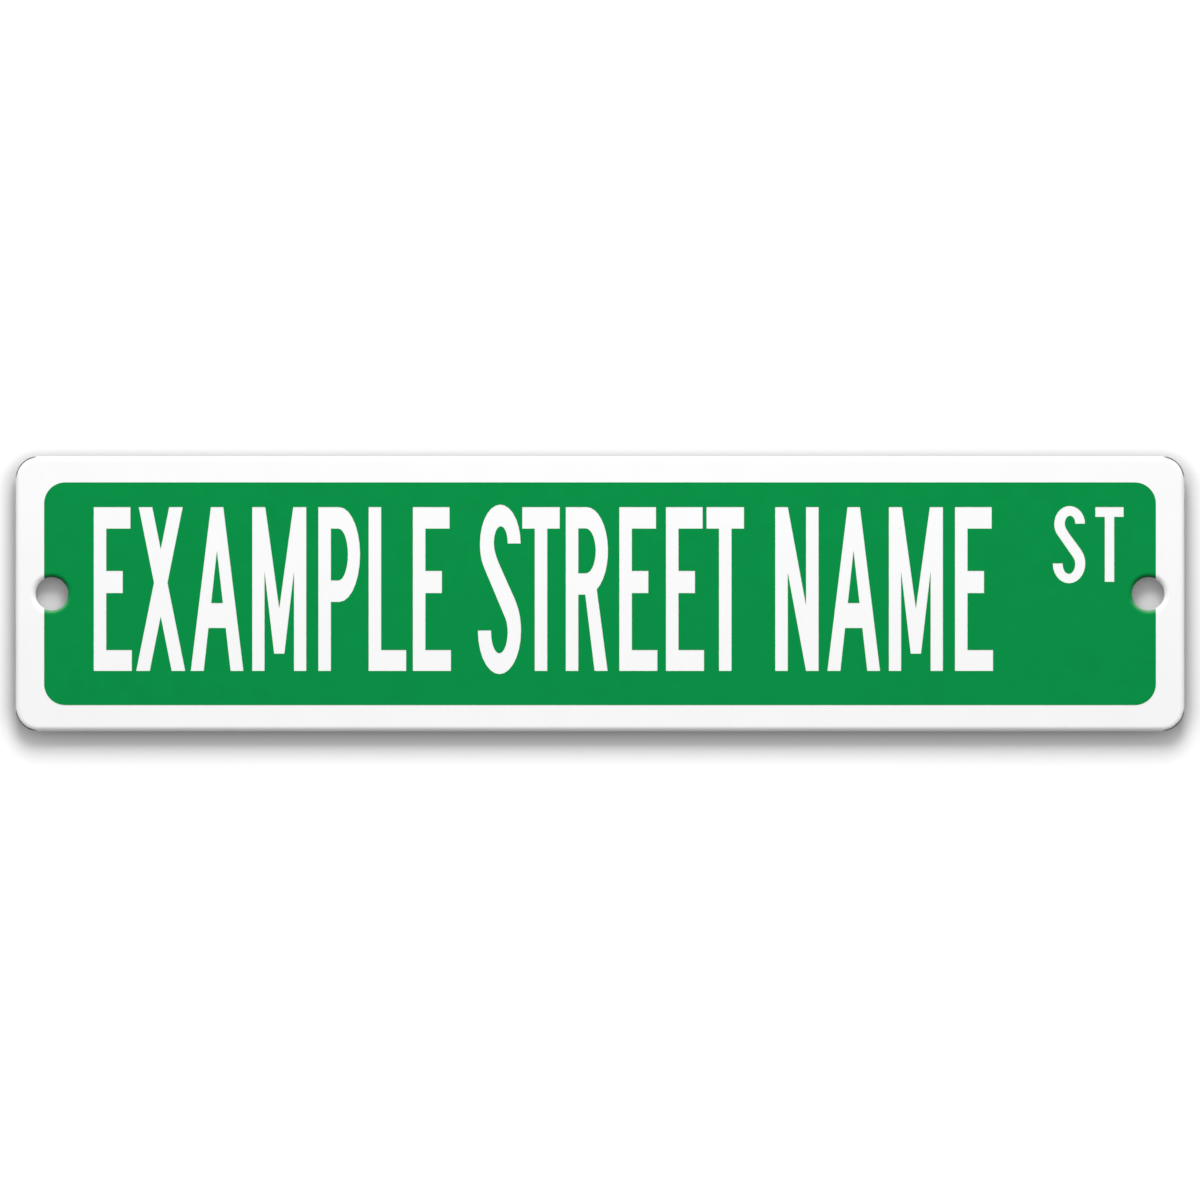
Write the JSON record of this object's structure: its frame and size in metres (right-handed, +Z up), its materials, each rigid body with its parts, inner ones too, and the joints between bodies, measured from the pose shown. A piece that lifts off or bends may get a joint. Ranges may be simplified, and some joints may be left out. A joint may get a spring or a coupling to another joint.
{
  "type": "street name sign",
  "caption": "Flat street name sign plate with rounded corners, a green field inside a white border, rolled front edges and a screw hole near each end.",
  "frame": {"origin": "on the plate's back face, midway between the two screw holes", "axes": "+X along the sign from the left hole to the right hole as read from the front, +Y from the front through the plate to its back, +Z up"},
  "size_m": [0.4318, 0.0033, 0.1016],
  "materials": {
    "white_coat": "satin",
    "green_film": "satin"
  },
  "bodies": {
    "root": {"sign_plate": "white_coat", "green_field": "green_film"}
  },
  "joints": []
}
